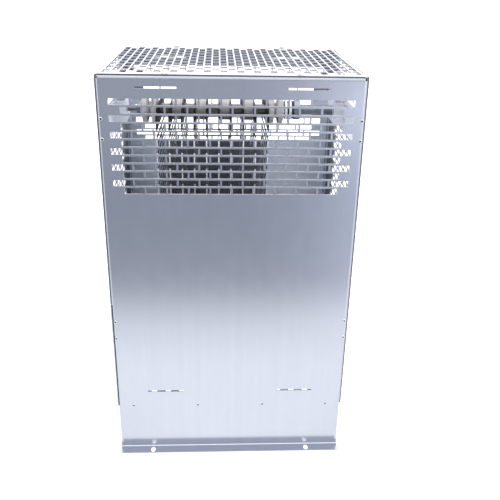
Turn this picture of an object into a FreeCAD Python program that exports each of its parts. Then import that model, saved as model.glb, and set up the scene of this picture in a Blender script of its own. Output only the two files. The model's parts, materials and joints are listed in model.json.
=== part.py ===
import FreeCAD, Part
import math
import os
import Sketcher

# A floor-standing braking resistor in a galvanised sheet housing with staggered ventilation slots.
# The frame: millimetres, +Z up, the front panel faces -Y, +X to the right of someone facing it.
# The origin is at the middle of the footprint, on the floor under the folded feet.

PARTS_FOLDER = "parts"
TOUCHING = 1e-6
HEXAGON_CORNER = 2 / math.sqrt(3)
OCTAGON_CORNER = math.tan(math.pi / 8)

doc = FreeCAD.newDocument("braking_resistor")
sheet = doc.addObject("Spreadsheet::Sheet", "sizes")


class Size:
    """A length or a count that knows its number and its formula in the sheet."""

    def __init__(self, value, formula):
        self.value = value
        self.formula = formula

    def __float__(self):
        return float(self.value)

    def __neg__(self):
        return Size(-self.value, "(0 - " + self.formula + ")")

    def __add__(self, other):
        return Size(self.value + number(other), "(" + self.formula + " + " + text(other) + ")")

    def __radd__(self, other):
        return Size(number(other) + self.value, "(" + text(other) + " + " + self.formula + ")")

    def __sub__(self, other):
        return Size(self.value - number(other), "(" + self.formula + " - " + text(other) + ")")

    def __rsub__(self, other):
        return Size(number(other) - self.value, "(" + text(other) + " - " + self.formula + ")")

    def __mul__(self, other):
        return Size(self.value * number(other), "(" + self.formula + " * " + text(other) + ")")

    def __rmul__(self, other):
        return Size(number(other) * self.value, "(" + text(other) + " * " + self.formula + ")")

    def __truediv__(self, other):
        return Size(self.value / number(other), "(" + self.formula + " / " + text(other) + ")")


def number(item):
    """The plain number of a size or of a number."""
    return item.value if isinstance(item, Size) else item


def text(item):
    """The formula of a size, or a number written out."""
    return item.formula if isinstance(item, Size) else "(" + repr(float(item)) + ")"


def size(name, value):
    """Keep one driving dimension in the sheet and return it."""
    row = str(size.rows + 1)
    sheet.set("A" + row, name)
    sheet.set("B" + row, str(value))
    sheet.setAlias("B" + row, name)
    size.rows += 1
    return Size(value, "sizes." + name)


size.rows = 0

# Housing
body_width = size("body_width", 293)
body_depth = size("body_depth", 242)
body_height = size("body_height", 490)
skin = size("skin", 1.5)
bend = size("bend", 1.5)
foot_reach = size("foot_reach", 14)
foot_relief = size("foot_relief", 8)
panel_side_fold = size("panel_side_fold", 12)
panel_top_fold = size("panel_top_fold", 11)
foot_hole_spacing = size("foot_hole_spacing", 204)
foot_hole_width = size("foot_hole_width", 5.2)
foot_hole_length = size("foot_hole_length", 9)
foot_hole_from_face = size("foot_hole_from_face", 7.8)

# Ventilation pattern, a running bond of slots
vent_length = size("vent_length", 22.4)
vent_width = size("vent_width", 7.1)
vent_bar = size("vent_bar", 2)
vent_margin = size("vent_margin", 11)
vent_side_margin = size("vent_side_margin", 5)
panel_vent_row_pairs = size("panel_vent_row_pairs", 6)
panel_vent_drop = size("panel_vent_drop", 25.35)
side_vent_row_pairs = size("side_vent_row_pairs", 9)
side_vent_reach = size("side_vent_reach", 168.8)
side_vent_from_front = size("side_vent_from_front", 14.5)

# Narrow hanging slots in the front and rear panels
hanger_slot_height = size("hanger_slot_height", 2.2)
upper_hanger_slot_start = size("upper_hanger_slot_start", 60)
upper_hanger_slot_end = size("upper_hanger_slot_end", 105)
upper_hanger_slot_drop = size("upper_hanger_slot_drop", 13.7)
lower_hanger_slot_start = size("lower_hanger_slot_start", 61)
lower_hanger_slot_end = size("lower_hanger_slot_end", 106)
lower_hanger_slot_level = size("lower_hanger_slot_level", 89)

# Hood, side panel, terminal cover and bottom tray
hood_fold = size("hood_fold", 14)
cover_bottom = size("cover_bottom", 66)
cover_top = size("cover_top", 214)
cover_gap = size("cover_gap", 1.5)
cover_fold = size("cover_fold", 8)
side_top_step = size("side_top_step", 0.5)
tray_level = size("tray_level", 75)
tray_flange = size("tray_flange", 15)
tray_side_flange = size("tray_side_flange", 7)
tray_corner = size("tray_corner", 3)
fold_clearance = size("fold_clearance", 1)

# Carriers on the side walls
carrier_height = size("carrier_height", 40)
carrier_lip = size("carrier_lip", 3)
upper_carrier_drop = size("upper_carrier_drop", 80)
lower_carrier_level = size("lower_carrier_level", 160)
rod_above_carrier = size("rod_above_carrier", 19)
bracket_reach = size("bracket_reach", 14)
bracket_width = size("bracket_width", 40)
bracket_foot = size("bracket_foot", 10)
bracket_height = size("bracket_height", 26)

# Resistor bank
grid_count = 10
bank_clearance = size("bank_clearance", 11)
grid_pitch = size("grid_pitch", 14.67)
grid_skin = size("grid_skin", 1.5)
grid_depth = size("grid_depth", 122)
grid_past_rod = size("grid_past_rod", 11)
grid_corner = size("grid_corner", 10)
grid_slots = size("grid_slots", 2)
grid_slot_height = size("grid_slot_height", 5)
grid_slot_web = size("grid_slot_web", 20)
grid_end_band = size("grid_end_band", 40)
rod_diameter = size("rod_diameter", 6)
tube_wall = size("tube_wall", 2.8)
fit = size("fit", 0.2)
link_width = size("link_width", 12)
link_height = size("link_height", 6)
link_from_edge = size("link_from_edge", 4)
spacer_diameter = size("spacer_diameter", 26)
insulator_diameter = size("insulator_diameter", 34)
insulator_length = size("insulator_length", 11.4)
insulator_joint = size("insulator_joint", 0.4)
insulator_hub = size("insulator_hub", 18)
insulator_rim = size("insulator_rim", 7)
nut_width = size("nut_width", 10)
nut_thickness = size("nut_thickness", 5)
rod_end = size("rod_end", 2)

# Terminal compartment behind the cover
compartment_depth = size("compartment_depth", 31.5)
shield_foot = size("shield_foot", 5)
block_pitch = size("block_pitch", 34)
block_count = size("block_count", 3)
block_depth = size("block_depth", 26)
block_length = size("block_length", 38)
block_step = size("block_step", 12)
block_height = size("block_height", 20)
block_barrier = size("block_barrier", 10)
block_level = size("block_level", 112)
terminal_screw_width = size("terminal_screw_width", 7)
terminal_screw_height = size("terminal_screw_height", 3)
strap_width = size("strap_width", 16)
strap_thickness = size("strap_thickness", 2)
strap_clearance = size("strap_clearance", 3)
strap_lap = size("strap_lap", 18)
strap_level = size("strap_level", 134)
strap_bolt_width = size("strap_bolt_width", 8)
strap_bolt_height = size("strap_bolt_height", 3.5)
stud_diameter = size("stud_diameter", 6)
stud_length = size("stud_length", 26)
stud_from_front = size("stud_from_front", 30)
switch_width = size("switch_width", 16)
switch_length = size("switch_length", 24)
switch_flange = size("switch_flange", 2)
switch_height = size("switch_height", 11)
switch_from_front = size("switch_from_front", 38)
cable_hole_diameter = size("cable_hole_diameter", 20)
cable_hole_spacing = size("cable_hole_spacing", 40)
cable_hole_from_rear = size("cable_hole_from_rear", 30)
bushing_wall = size("bushing_wall", 2.5)
bushing_lip = size("bushing_lip", 3)

# Screws in the hood, the cover and the right side panel
hood_screw_spacing = size("hood_screw_spacing", 145.2)
hood_screw_inset = size("hood_screw_inset", 6)
screw_head_width = size("screw_head_width", 7)
screw_head_height = size("screw_head_height", 2.3)
side_screw_head_height = size("side_screw_head_height", 2)
side_screw_inset = size("side_screw_inset", 6)
side_screw_margin = size("side_screw_margin", 6)
side_screw_drop = size("side_screw_drop", 25)

doc.recompute()


def whole(item):
    """The largest whole number in a size, such as the slots that fit in a length."""
    return Size(math.floor(item.value), "floor(" + item.formula + ")")


# Lengths and counts that follow from the driving dimensions
half_width = body_width / 2
half_depth = body_depth / 2
panel_half_width = half_width - skin
panel_top = body_height - skin
inner_face = half_depth - skin
outer_bend = bend + skin
vent_pitch = vent_length + vent_bar
row_pitch = vent_width + vent_bar
wall_face = panel_half_width - skin
carrier_face = wall_face - skin
upper_carrier_level = body_height - upper_carrier_drop
upper_rod_level = upper_carrier_level + rod_above_carrier
lower_rod_level = lower_carrier_level + rod_above_carrier
bracket_face = carrier_face - bracket_reach
axis_row = 0
floor_level = 0
tube_diameter = rod_diameter + 2 * fit + 2 * tube_wall
bank_bore = tube_diameter + 2 * fit
gap_length = grid_pitch - grid_skin
insulator_stack = grid_skin / 2 + 2 * insulator_length + insulator_joint
first_grid = bank_clearance + nut_thickness + insulator_stack - bracket_face
last_grid = first_grid + grid_pitch * (grid_count - 1)
shield_face = -1 * wall_face + compartment_depth
step_face = shield_face - block_step
side_screw_row = half_depth - side_screw_inset
cable_hole_centre = shield_face - compartment_depth / 2
panel_vent_columns = whole((body_width - 2 * vent_margin + vent_bar) / vent_pitch)
top_vent_rows = whole((body_depth - 2 * vent_margin + vent_bar) / vent_pitch)
top_vent_column_pairs = whole((body_width - 2 * vent_side_margin - vent_width) / (2 * row_pitch))
last_column = row_pitch * top_vent_column_pairs
bottom_vent_room = last_column - vent_width / 2 - vent_side_margin - shield_face - skin
bottom_vent_column_pairs = whole(bottom_vent_room / (2 * row_pitch))


def origin_feature(body, role):
    """One of a body's own origin planes or axes."""
    return [item for item in body.Origin.OriginFeatures if item.Role == role][0]


def bind(item, name, formula):
    """Let a property follow a size."""
    item.setExpression(name, text(formula))


def new_body(name):
    """A sub-part, whose label names its file."""
    body = doc.addObject("PartDesign::Body", name)
    body.Label = name
    return body


def place(body, across=0, deep=0, up=0, turn=0, axis=(0, 0, 1)):
    """Put a body where it belongs, turned first."""
    rotation = FreeCAD.Rotation(FreeCAD.Vector(*axis), turn)
    body.Placement = FreeCAD.Placement(FreeCAD.Vector(number(across), number(deep), number(up)), rotation)
    for name, item in (("x", across), ("y", deep), ("z", up)):
        if isinstance(item, Size):
            bind(body, "Placement.Base." + name, item)


def step_between(first, second):
    """Unit step from one corner to the next."""
    across = number(second[0]) - number(first[0])
    up = number(second[1]) - number(first[1])
    length = math.hypot(across, up)
    return round(across / length, 9), round(up / length, 9)


def shifted(corner, step, distance):
    """A corner moved along one axis, as a pair of formulas."""
    return tuple(
        place_along if direction == 0 else place_along + distance * direction
        for place_along, direction in zip(corner, step)
    )


def outline_pieces(corners):
    """Lines and arcs of a closed outline; a third value at a corner is its radius."""
    runs = []
    count = len(corners)
    for index, corner in enumerate(corners):
        before = corners[index - 1]
        after = corners[(index + 1) % count]
        middle = corner[:2]
        if len(corner) == 2:
            runs.append(("corner", middle, middle, None, None, None))
            continue
        radius = corner[2]
        coming = step_between(before, corner)
        leaving = step_between(corner, after)
        entry = shifted(middle, coming, -1 * radius)
        leave = shifted(middle, leaving, radius)
        centre = shifted(entry, leaving, radius)
        turn = coming[0] * leaving[1] - coming[1] * leaving[0]
        runs.append(("arc", entry, leave, centre, radius, turn))
    pieces = []
    for index, run in enumerate(runs):
        kind, entry, leave, centre, radius, turn = run
        if kind == "arc":
            pieces.append(("arc", entry, leave, centre, radius, turn))
        following = runs[(index + 1) % count]
        if (flat(leave) - flat(following[1])).Length > TOUCHING:
            pieces.append(("line", leave, following[1], None, None, None))
    return pieces


def flat(point):
    """A pair of formulas as a point of the sketch."""
    return FreeCAD.Vector(number(point[0]), number(point[1]), 0)


def arc_geometry(entry, leave, centre, radius, turn):
    """A quarter bend, counter-clockwise, with the positions of its entry and exit."""
    middle = flat(centre)
    start = flat(entry) - middle
    end = flat(leave) - middle
    if turn < 0:
        start, end = end, start
    first = math.atan2(start.y, start.x)
    last = math.atan2(end.y, end.x)
    if last < first:
        last += 2 * math.pi
    circle = Part.Circle(middle, FreeCAD.Vector(0, 0, 1), number(radius))
    arc = Part.ArcOfCircle(circle, first, last)
    return (arc, 1, 2) if turn > 0 else (arc, 2, 1)


def draw(body, role, name, outlines, circles=(), offset=None):
    """A sketch of closed outlines and circles, each point bound to its formulas."""
    sketch = body.newObject("Sketcher::SketchObject", name)
    sketch.AttachmentSupport = (origin_feature(body, role), [""])
    sketch.MapMode = "FlatFace"
    if offset is not None:
        bind(sketch, "AttachmentOffset.Base.z", offset)
    constraints = []
    formulas = []

    def fix(index, position, point, ways=("DistanceX", "DistanceY")):
        for way, item in zip(ways, point):
            constraints.append(Sketcher.Constraint(way, -1, 1, index, position, float(number(item))))
            formulas.append(item)

    def join(first, first_end, second, second_start):
        constraints.append(Sketcher.Constraint("Coincident", first, first_end, second, second_start))
        formulas.append(None)

    for corners in outlines:
        pieces = outline_pieces(corners)
        ends = []
        for kind, entry, leave, centre, radius, turn in pieces:
            if kind == "line":
                geometry, entry_end, leave_end = Part.LineSegment(flat(entry), flat(leave)), 1, 2
            else:
                geometry, entry_end, leave_end = arc_geometry(entry, leave, centre, radius, turn)
            index = sketch.addGeometry(geometry, False)
            ends.append((index, entry_end, leave_end))
            fix(index, entry_end, entry)
            if kind == "arc":
                fix(index, 3, centre[:1])
        for this, following in zip(ends, ends[1:] + ends[:1]):
            join(this[0], this[2], following[0], following[1])
    for centre, radius in circles:
        circle = Part.Circle(flat(centre), FreeCAD.Vector(0, 0, 1), number(radius))
        index = sketch.addGeometry(circle, False)
        fix(index, 3, centre)
        constraints.append(Sketcher.Constraint("Radius", index, number(radius)))
        formulas.append(radius)
    sketch.addConstraint(constraints)
    for index, item in enumerate(formulas):
        if isinstance(item, Size):
            bind(sketch, "Constraints[" + str(index) + "]", item)
    return sketch


def box_outline(left, low, right, high):
    """The four corners of a rectangle."""
    return [(left, low), (right, low), (right, high), (left, high)]


def slot_outline(left, low, width, height):
    """A rectangle from its lower left corner."""
    return box_outline(left, low, left + width, low + height)


def rounded_slot(left, low, width, height):
    """A slot with round ends, taller than it is wide."""
    return [corner + (width / 2,) for corner in slot_outline(left, low, width, height)]


def pad(body, sketch, length, both_ways=False, back=False):
    """Thicken a sketch."""
    feature = body.newObject("PartDesign::Pad", sketch.Label + "_pad")
    feature.Profile = sketch
    feature.Length = float(number(length))
    if isinstance(length, Size):
        bind(feature, "Length", length)
    feature.SideType = "Symmetric" if both_ways else "One side"
    feature.Reversed = back
    feature.Refine = False
    return feature


def pocket(body, sketch):
    """Cut a sketch right through the body."""
    feature = body.newObject("PartDesign::Pocket", sketch.Label + "_cut")
    feature.Profile = sketch
    feature.Type = "ThroughAll"
    feature.SideType = "Symmetric"
    feature.Refine = False
    return feature


def repeat(body, feature, axis, spacing, count, other_axis=None, other_spacing=None, other_count=None):
    """Repeat a feature along one or two of the body's own axes."""
    pattern = body.newObject("PartDesign::LinearPattern", feature.Label + "_row")
    pattern.Originals = [feature]
    pattern.Direction = (origin_feature(body, axis), [""])
    pattern.Occurrences = int(number(count))
    pattern.Length = float(number(spacing)) * (int(number(count)) - 1)
    bind(pattern, "Length", spacing * (count - 1))
    if isinstance(count, Size):
        bind(pattern, "Occurrences", count)
    if other_axis:
        pattern.Direction2 = (origin_feature(body, other_axis), [""])
        pattern.Occurrences2 = int(number(other_count))
        pattern.Length2 = float(number(other_spacing)) * (int(number(other_count)) - 1)
        bind(pattern, "Length2", other_spacing * (other_count - 1))
        if isinstance(other_count, Size):
            bind(pattern, "Occurrences2", other_count)
    pattern.Refine = False
    body.Tip = pattern
    return pattern


def octagon(across, up, half):
    """Eight corners of an octagon, half its width across flats given."""
    short = half * OCTAGON_CORNER
    return [
        (across - half, up - short),
        (across - short, up - half),
        (across + short, up - half),
        (across + half, up - short),
        (across + half, up + short),
        (across + short, up + half),
        (across - short, up + half),
        (across - half, up + short),
    ]


def hexagon(across, up, half):
    """Six corners of a hexagon, half its width across flats given."""
    corner = half * HEXAGON_CORNER
    return [
        (across - half, up - corner / 2),
        (across, up - corner),
        (across + half, up - corner / 2),
        (across + half, up + corner / 2),
        (across, up + corner),
        (across - half, up + corner / 2),
    ]


def folded_panel(name):
    """A plate with side folds, a top fold, an outward foot, hanging slots and foot slots."""
    body = new_body(name)
    fold_end = -1 * half_depth + panel_side_fold
    plate = draw(body, "XY_Plane", name + "_plate", [[
        (-1 * panel_half_width, -1 * half_depth, outer_bend),
        (panel_half_width, -1 * half_depth, outer_bend),
        (panel_half_width, fold_end),
        (wall_face, fold_end),
        (wall_face, -1 * inner_face, bend),
        (-1 * wall_face, -1 * inner_face, bend),
        (-1 * wall_face, fold_end),
        (-1 * panel_half_width, fold_end),
    ]], offset=foot_relief)
    pad(body, plate, panel_top - outer_bend - foot_relief)
    foot = draw(body, "YZ_Plane", name + "_foot", [[
        (-1 * half_depth - foot_reach, floor_level),
        (-1 * inner_face, floor_level, outer_bend),
        (-1 * inner_face, foot_relief),
        (-1 * half_depth, foot_relief),
        (-1 * half_depth, skin, bend),
        (-1 * half_depth - foot_reach, skin),
    ]])
    pad(body, foot, 2 * panel_half_width, both_ways=True)
    top = draw(body, "YZ_Plane", name + "_top", [[
        (-1 * half_depth, panel_top - outer_bend),
        (-1 * inner_face, panel_top - outer_bend),
        (-1 * inner_face, panel_top - skin, bend),
        (-1 * half_depth + panel_top_fold, panel_top - skin),
        (-1 * half_depth + panel_top_fold, panel_top),
        (-1 * half_depth, panel_top, outer_bend),
    ]])
    pad(body, top, 2 * (panel_half_width - outer_bend), both_ways=True)
    feet = draw(body, "XY_Plane", name + "_foot_holes", [
        rounded_slot(sign * foot_hole_spacing / 2 - foot_hole_width / 2,
                     -1 * half_depth - foot_hole_from_face - foot_hole_length / 2,
                     foot_hole_width, foot_hole_length)
        for sign in (-1, 1)
    ])
    pocket(body, feet)
    hangers = []
    for sign in (-1, 1):
        for start, end, level in (
            (upper_hanger_slot_start, upper_hanger_slot_end, body_height - upper_hanger_slot_drop),
            (lower_hanger_slot_start, lower_hanger_slot_end, lower_hanger_slot_level),
        ):
            hangers.append(box_outline(sign * start, level - hanger_slot_height / 2,
                                       sign * end, level + hanger_slot_height / 2))
    pocket(body, draw(body, "XZ_Plane", name + "_hanger_slots", hangers))
    return body


panel_vent_left = -1 * (vent_pitch * (panel_vent_columns - 1) / 2) - vent_length / 2
panel_vent_low = body_height - panel_vent_drop - vent_width - 2 * row_pitch * (panel_vent_row_pairs - 1)


def front_panel():
    """The front panel with its running bond of vents; the rear panel is the same piece turned round."""
    body = folded_panel("front_panel")
    last_column_left = panel_vent_left + vent_pitch * (panel_vent_columns - 1)
    last = draw(body, "XZ_Plane", "front_end_vents", [
        slot_outline(last_column_left, panel_vent_low, vent_length, vent_width)])
    repeat(body, pocket(body, last), "Z_Axis", 2 * row_pitch, panel_vent_row_pairs)
    pair = draw(body, "XZ_Plane", "front_vents", [
        slot_outline(panel_vent_left, panel_vent_low, vent_length, vent_width),
        slot_outline(panel_vent_left + vent_pitch / 2, panel_vent_low - row_pitch, vent_length, vent_width),
    ])
    repeat(body, pocket(body, pair), "X_Axis", vent_pitch, panel_vent_columns - 1,
           "Z_Axis", 2 * row_pitch, panel_vent_row_pairs)
    return body


def side_vents(body, name):
    """Long rows of side ventilation; the narrow bridges between their slots are left out here."""
    front = -1 * half_depth + side_vent_from_front
    top_row = body_height - panel_vent_drop - vent_width
    low = top_row - 2 * row_pitch * side_vent_row_pairs
    long_row = draw(body, "YZ_Plane", name + "_long_rows",
                    [slot_outline(front, low, side_vent_reach, vent_width)])
    repeat(body, pocket(body, long_row), "Z_Axis", 2 * row_pitch, side_vent_row_pairs + 1)
    short_row = draw(body, "YZ_Plane", name + "_short_rows", [
        slot_outline(front + vent_pitch / 2, low + row_pitch, side_vent_reach - vent_pitch, vent_width)])
    repeat(body, pocket(body, short_row), "Z_Axis", 2 * row_pitch, side_vent_row_pairs)


def long_columns(body, name, left, pairs):
    """Long columns of level ventilation; the narrow bridges between their slots are left out here."""
    reach = vent_pitch * top_vent_rows - vent_bar
    odd = draw(body, "XY_Plane", name + "_long_columns", [
        slot_outline(left, -1 * reach / 2, vent_width, reach)])
    repeat(body, pocket(body, odd), "X_Axis", 2 * row_pitch, pairs + 1)
    even = draw(body, "XY_Plane", name + "_short_columns", [
        slot_outline(left + row_pitch, (vent_pitch - reach) / 2, vent_width, reach - vent_pitch)])
    repeat(body, pocket(body, even), "X_Axis", 2 * row_pitch, pairs)


def hood():
    """Top and upper left side in one bent sheet, with a fold inside the right side panel."""
    body = new_body("hood_panel")
    side_bottom = cover_top + cover_gap
    bend_start = panel_half_width - outer_bend
    shell = draw(body, "XZ_Plane", "hood_shell", [[
        (-1 * half_width, side_bottom),
        (-1 * panel_half_width, side_bottom),
        (-1 * panel_half_width, panel_top, bend),
        (bend_start, panel_top),
        (bend_start, body_height),
        (-1 * half_width, body_height, outer_bend),
    ]])
    pad(body, shell, body_depth, both_ways=True)
    fold = draw(body, "XZ_Plane", "hood_fold", [[
        (bend_start, panel_top),
        (wall_face, panel_top, bend),
        (wall_face, body_height - hood_fold),
        (panel_half_width, body_height - hood_fold),
        (panel_half_width, body_height, outer_bend),
        (bend_start, body_height),
    ]])
    fold_half = half_depth - panel_side_fold - fold_clearance
    pad(body, fold, 2 * fold_half, both_ways=True)
    tabs = draw(body, "XY_Plane", "hood_corner_tabs", [
        box_outline(bend_start, sign * fold_half, panel_half_width, sign * half_depth)
        for sign in (-1, 1)
    ], offset=panel_top)
    pad(body, tabs, skin)
    side_vents(body, "hood")
    long_columns(body, "hood", -1 * last_column - vent_width / 2, top_vent_column_pairs)
    return body


def right_side():
    """Plain right side panel with its rows of vents."""
    body = new_body("right_side_panel")
    plate = draw(body, "YZ_Plane", "right_side_plate", [
        box_outline(-1 * half_depth, cover_bottom, half_depth, body_height - side_top_step)])
    pad(body, plate, skin)
    side_vents(body, "right_side")
    place(body, across=panel_half_width)
    return body


def terminal_cover():
    """Removable lower left side, stiffened by an inward fold above and below."""
    body = new_body("terminal_cover")
    plate = draw(body, "YZ_Plane", "cover_plate", [
        box_outline(-1 * half_depth, cover_bottom, half_depth, cover_top)], offset=-1 * half_width)
    pad(body, plate, skin)
    fold_end = cover_fold - panel_half_width
    folds = draw(body, "XZ_Plane", "cover_folds", [
        box_outline(-1 * panel_half_width, cover_bottom, fold_end, cover_bottom + skin),
        box_outline(-1 * panel_half_width, cover_top - skin, fold_end, cover_top),
    ])
    pad(body, folds, 2 * (half_depth - panel_side_fold - fold_clearance), both_ways=True)
    return body


def cable_hole_outlines(half):
    """The two cable holes of the terminal compartment, at one width."""
    return [
        octagon(cable_hole_centre, half_depth - cable_hole_from_rear - cable_hole_spacing * step, half)
        for step in (0, 1)
    ]


def bottom_tray():
    """Perforated bottom, an upturned tray whose rims are riveted inside the panels."""
    body = new_body("bottom_grille")
    for plane, face, span, rim, name in (
        ("YZ_Plane", inner_face, 2 * wall_face, tray_level - tray_flange, "tray_front_and_rear"),
        ("XZ_Plane", wall_face, 2 * inner_face, tray_level - tray_side_flange, "tray_sides"),
    ):
        channel = draw(body, plane, name, [[
            (-1 * face, rim),
            (-1 * face + skin, rim),
            (-1 * face + skin, tray_level - skin),
            (face - skin, tray_level - skin),
            (face - skin, rim),
            (face, rim),
            (face, tray_level),
            (-1 * face, tray_level),
        ]])
        pad(body, channel, span - 2 * tray_corner, both_ways=True)
    left = last_column - 2 * row_pitch * bottom_vent_column_pairs - vent_width / 2
    long_columns(body, "tray", left, bottom_vent_column_pairs)
    pocket(body, draw(body, "XY_Plane", "tray_cable_holes", cable_hole_outlines(cable_hole_diameter / 2)))
    return body


def cable_bushings():
    """A plastic bushing in each cable hole, proud of the sheet above and below."""
    body = new_body("cable_bushings")
    outside = cable_hole_outlines(cable_hole_diameter / 2)
    inside = cable_hole_outlines(cable_hole_diameter / 2 - bushing_wall)
    rings_drawn = draw(body, "XY_Plane", "bushings", outside + inside, offset=tray_level - skin - bushing_lip)
    pad(body, rings_drawn, skin + 2 * bushing_lip)
    return body


def carrier(name, side, level):
    """Rail along one side wall, from the front panel to the rear one, lips turned inward."""
    body = new_body(name)
    web = box_outline(side * carrier_face, level, side * wall_face, level + carrier_height)
    pad(body, draw(body, "XZ_Plane", name + "_web", [web]), 2 * (inner_face - bend), both_ways=True)
    lips = [
        box_outline(side * (carrier_face - carrier_lip), low, side * carrier_face, low + skin)
        for low in (level, level + carrier_height - skin)
    ]
    lip_length = 2 * (inner_face - skin - fold_clearance)
    pad(body, draw(body, "XZ_Plane", name + "_lips", lips), lip_length, both_ways=True)
    return body


def rod_brackets(name, level):
    """A hat-shaped bracket on each carrier, with the tie rod through its crown."""
    body = new_body(name)
    half = bracket_width / 2
    hats = []
    for side in (-1, 1):
        hats.append([
            (side * carrier_face, -1 * half - bracket_foot),
            (side * carrier_face, -1 * half + skin),
            (side * (bracket_face + skin), -1 * half + skin),
            (side * (bracket_face + skin), half - skin),
            (side * carrier_face, half - skin),
            (side * carrier_face, half + bracket_foot),
            (side * (carrier_face - skin), half + bracket_foot),
            (side * (carrier_face - skin), half),
            (side * bracket_face, half),
            (side * bracket_face, -1 * half),
            (side * (carrier_face - skin), -1 * half),
            (side * (carrier_face - skin), -1 * half - bracket_foot),
        ])
    low = level - bracket_height / 2
    pad(body, draw(body, "XY_Plane", name + "_hats", hats, offset=low), bracket_height)
    pocket(body, draw(body, "YZ_Plane", name + "_holes", [octagon(axis_row, level, rod_diameter / 2 + fit)]))
    return body


def tie_rod(name, level):
    """The rod that carries one end of the bank from bracket to bracket."""
    body = new_body(name)
    half = bracket_face + skin + nut_thickness + rod_end
    pad(body, draw(body, "YZ_Plane", name + "_section", [], [((axis_row, level), rod_diameter / 2)]),
        2 * half, both_ways=True)
    return body


def insulating_tube(name, level):
    """Eight-sided mica tube that keeps the bank off its rod."""
    body = new_body(name)
    start = first_grid - insulator_stack
    outlines = [octagon(axis_row, level, half) for half in (tube_diameter / 2, rod_diameter / 2 + fit)]
    pad(body, draw(body, "YZ_Plane", name + "_section", outlines, offset=start),
        last_grid - first_grid + 2 * insulator_stack)
    return body


def ceramic_spacers(name, level, start, count):
    """Ceramic collars on the insulating tube, one in every other gap of the bank."""
    body = new_body(name)
    outlines = [octagon(axis_row, level, half) for half in (spacer_diameter / 2, bank_bore / 2)]
    ring = pad(body, draw(body, "YZ_Plane", name + "_section", outlines, offset=start), gap_length)
    repeat(body, ring, "X_Axis", 2 * grid_pitch, count)
    return body


def grid_links(name, low, start, count):
    """Bars welded between neighbouring grids, which carry the current on from one to the next."""
    body = new_body(name)
    front = grid_depth / 2 - link_from_edge - link_width
    section = draw(body, "YZ_Plane", name + "_section", [
        slot_outline(front, low, link_width, link_height)], offset=start)
    repeat(body, pad(body, section, gap_length), "X_Axis", 2 * grid_pitch, count)
    return body


def resistor_grid(name):
    """One stamped grid: a plate slit from both edges into a meander, with a square hole for each rod."""
    body = new_body(name)
    low = lower_rod_level - grid_past_rod
    high = upper_rod_level + grid_past_rod
    half = grid_depth / 2
    plate = draw(body, "YZ_Plane", name + "_plate", [[
        (-1 * half + grid_corner, low),
        (half - grid_corner, low),
        (half, low + grid_corner),
        (half, high - grid_corner),
        (half - grid_corner, high),
        (-1 * half + grid_corner, high),
        (-1 * half, high - grid_corner),
        (-1 * half, low + grid_corner),
    ]] + [
        slot_outline(-1 * bank_bore / 2, level - bank_bore / 2, bank_bore, bank_bore)
        for level in (lower_rod_level, upper_rod_level)
    ], offset=first_grid - grid_skin / 2)
    pad(body, plate, grid_skin)
    spacing = (high - low - 2 * grid_end_band) / (2 * grid_slots - 1)
    front_slot = draw(body, "YZ_Plane", name + "_front_slit", [
        slot_outline(-1 * half - skin, low + grid_end_band - grid_slot_height / 2,
                     grid_depth + skin - grid_slot_web, grid_slot_height)])
    repeat(body, pocket(body, front_slot), "Z_Axis", 2 * spacing, grid_slots)
    rear_slot = draw(body, "YZ_Plane", name + "_rear_slit", [
        slot_outline(-1 * half + grid_slot_web, low + grid_end_band + spacing - grid_slot_height / 2,
                     grid_depth + skin - grid_slot_web, grid_slot_height)])
    repeat(body, pocket(body, rear_slot), "Z_Axis", 2 * spacing, grid_slots)
    return body


def copy_of(original, name, across=0, turn=0):
    """The same piece again in another place."""
    body = new_body(name)
    base = doc.addObject("PartDesign::FeatureBase", name + "_base")
    base.BaseFeature = original
    body.Group = [base]
    body.Tip = base
    place(body, across=across, turn=turn)
    return body


def end_insulators(name, level):
    """Two ceramic insulators at each end of the bank, each a broad rim round a longer hub."""
    body = new_body(name)
    start = first_grid - insulator_stack
    far = last_grid - first_grid + grid_skin + 2 * insulator_length + insulator_joint
    for word, across, low, length in (
        ("hub", insulator_hub, start, insulator_length),
        ("rim", insulator_diameter, start + (insulator_length - insulator_rim) / 2, insulator_rim),
    ):
        outline = octagon(axis_row, level, across / 2)
        disc = pad(body, draw(body, "YZ_Plane", name + "_" + word, [outline], offset=low), length)
        repeat(body, disc, "X_Axis", insulator_length + insulator_joint, 2, "X_Axis", far, 2)
    pocket(body, draw(body, "YZ_Plane", name + "_bore", [octagon(axis_row, level, bank_bore / 2)]))
    return body


def nuts(name, level):
    """Hexagon nuts: one clamps each end of the bank, one holds the rod outside each bracket."""
    body = new_body(name)
    starts = [
        -1 * (bracket_face + skin) - nut_thickness,
        first_grid - insulator_stack - nut_thickness,
        last_grid + insulator_stack,
        bracket_face + skin,
    ]
    for index, start in enumerate(starts):
        outlines = [hexagon(axis_row, level, nut_width / 2), octagon(axis_row, level, rod_diameter / 2)]
        pad(body, draw(body, "YZ_Plane", name + "_" + str(index), outlines, offset=start), nut_thickness)
    return body


def heat_shield():
    """Folded sheet between the bank and the terminal compartment, with a window for each strap."""
    body = new_body("heat_shield")
    top = lower_carrier_level
    shape = [
        (shield_face - shield_foot, tray_level),
        (shield_face + skin, tray_level),
        (shield_face + skin, top),
        (-1 * wall_face, top),
        (-1 * wall_face, top - skin),
        (shield_face, top - skin),
        (shield_face, tray_level + skin),
        (shield_face - shield_foot, tray_level + skin),
    ]
    pad(body, draw(body, "XZ_Plane", "shield_fold", [shape]), 2 * (inner_face - skin), both_ways=True)
    windows = draw(body, "YZ_Plane", "shield_windows", [
        box_outline(sign * block_pitch - strap_width / 2 - strap_clearance, strap_level - strap_clearance,
                    sign * block_pitch + strap_width / 2 + strap_clearance,
                    strap_level + strap_thickness + strap_clearance)
        for sign in (-1, 1)
    ])
    pocket(body, windows)
    return body


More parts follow.
